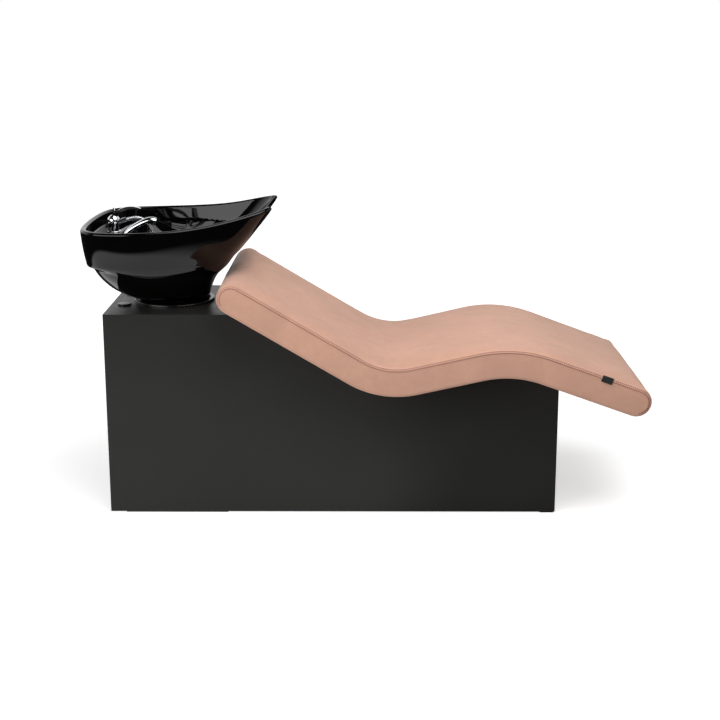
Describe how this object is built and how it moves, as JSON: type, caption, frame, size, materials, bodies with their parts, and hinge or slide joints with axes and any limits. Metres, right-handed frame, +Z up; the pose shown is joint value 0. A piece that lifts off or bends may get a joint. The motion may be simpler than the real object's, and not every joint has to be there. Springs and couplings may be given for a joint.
{
  "type": "hair washing bed",
  "caption": "Salon hair washing bed: wave-shaped padded couch on a boxed cabinet, with a tilting ceramic bowl, lever tap and hand shower at the head end.",
  "frame": {"origin": "on the floor, at the bottom centre of the overall box", "axes": "+X towards the foot end, +Y towards the side away from the handset, +Z up"},
  "size_m": [1.6912, 0.5985, 0.9251],
  "materials": {
    "dark_laminate": "satin near-black laminate on board",
    "plywood": "bare birch plywood",
    "black_plastic": "moulded gloss black",
    "bracket_steel": "zinc plated",
    "yoke_paint": "black powder coat on steel",
    "pink_leather": "soft matt dusty pink, finely mottled",
    "black_tag": "plain woven tape",
    "black_glaze": "deep gloss black glaze",
    "chrome": "polished",
    "hose_steel": "ribbed stainless hose",
    "spray_rubber": "matt black silicone",
    "pipe_plastic": "grey-white waste pipe",
    "brass": "machined"
  },
  "bodies": {
    "cabinet": {"side_panel_near": "dark_laminate", "side_panel_far": "dark_laminate", "foot_end_panel": "dark_laminate", "base_board": "plywood", "bulkhead": "plywood", "head_rail": "plywood", "seat_board": "plywood", "seat_rails": "plywood", "glides": "black_plastic", "corner_brackets": "bracket_steel", "bracket_screws": "bracket_steel", "deck": "dark_laminate", "deck_caps": "black_plastic", "collar": "black_plastic", "catch_magnets": "bracket_steel", "cushion": "pink_leather", "label_tag": "black_tag", "tilt_yoke": "yoke_paint", "yoke_screws": "bracket_steel"},
    "bowl": {"bowl": "black_glaze", "bowl_mount_plate": "yoke_paint", "tilt_pins": "bracket_steel", "pin_clips": "bracket_steel", "mount_plate_bolts": "bracket_steel", "drain_body": "chrome", "drain_gasket": "spray_rubber", "drain_nut": "pipe_plastic", "waste_tailpiece": "pipe_plastic", "tap_body": "chrome", "tap_flange": "chrome", "tap_back_nut": "bracket_steel", "water_inlets": "brass", "tap_hose_nut": "chrome", "shower_hose": "hose_steel", "handset_holder": "chrome", "holder_screw": "bracket_steel"},
    "lever_swivel": {"cartridge_ball": "chrome", "lift_pin": "bracket_steel"},
    "lever": {"lever_cap": "chrome", "lever_blade": "chrome", "cap_pin": "chrome"},
    "handset": {"handset_shell": "chrome", "spray_face": "spray_rubber", "handset_hose_nut": "chrome"},
    "strainer": {"strainer": "chrome"},
    "service_panel": {"service_panel": "dark_laminate", "strike_plates": "bracket_steel", "panel_knob": "black_plastic"}
  },
  "joints": [
    {"name": "bowl_tilt", "type": "hinge", "parent": "cabinet", "child": "bowl", "pos_m": [-0.585, 0, 0.622], "axis": [0, 1, 0], "range_deg": [-3, 5]},
    {"name": "lever_swing", "type": "hinge", "parent": "bowl", "child": "lever_swivel", "pos_m": [-0.766, 0, 0.866], "axis": [0, 0, 1], "range_deg": [-40, 40]},
    {"name": "lever_lift", "type": "hinge", "parent": "lever_swivel", "child": "lever", "pos_m": [-0.766, 0, 0.866], "axis": [0, -1, 0], "range_deg": [0, 20]},
    {"name": "handset_lift", "type": "slide", "parent": "bowl", "child": "handset", "axis": [0, 0, 1], "range_m": [0, 0.12], "deforming": ["shower_hose"]},
    {"name": "strainer_lift", "type": "slide", "parent": "bowl", "child": "strainer", "axis": [0, 0, 1], "range_m": [0, 0.06]},
    {"name": "panel_pull", "type": "slide", "parent": "cabinet", "child": "service_panel", "axis": [-1, 0, 0], "range_m": [0, 0.25]}
  ]
}
